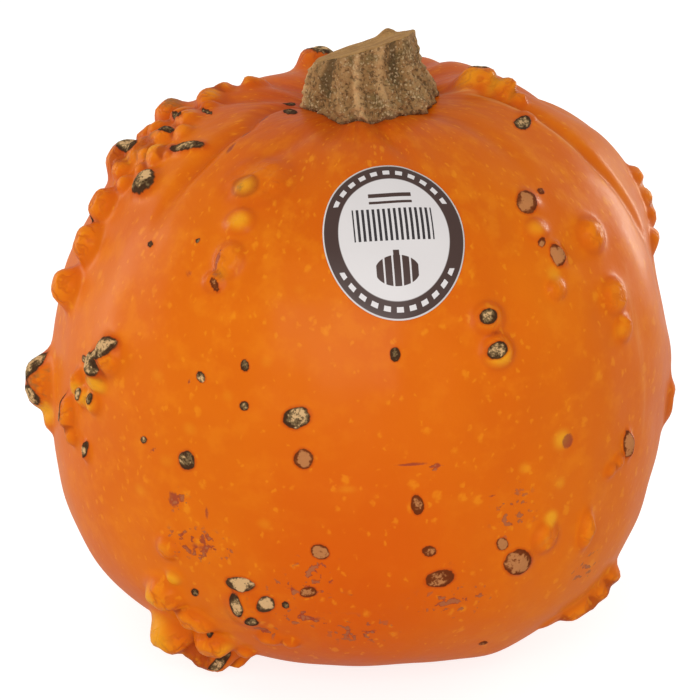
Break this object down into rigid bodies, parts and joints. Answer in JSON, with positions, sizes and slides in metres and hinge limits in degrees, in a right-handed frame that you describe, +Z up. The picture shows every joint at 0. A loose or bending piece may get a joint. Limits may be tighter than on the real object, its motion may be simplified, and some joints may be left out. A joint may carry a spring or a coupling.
{
  "type": "warty pumpkin",
  "caption": "Round pumpkin with a corky cut stem, clusters of warts on a smooth rind and an oval paper sticker on its upper front, standing on a flattened underside.",
  "frame": {"origin": "centre of the flattened spot underneath, on the surface that the fruit stands on", "axes": "+Z up through the stem, -Y toward the front, which carries the sticker, +X to the right of someone facing the front"},
  "size_m": [0.1559, 0.15, 0.1487],
  "materials": {
    "rind": null,
    "stem": "dry corky tan stalk, furrowed lengthwise, with a paler sawn face",
    "label": "smooth off-white paper with a dark brown oval border, unprinted otherwise but for plain bars"
  },
  "bodies": {
    "root": {"fruit": "rind", "stem": "stem", "label": "label"}
  },
  "joints": []
}
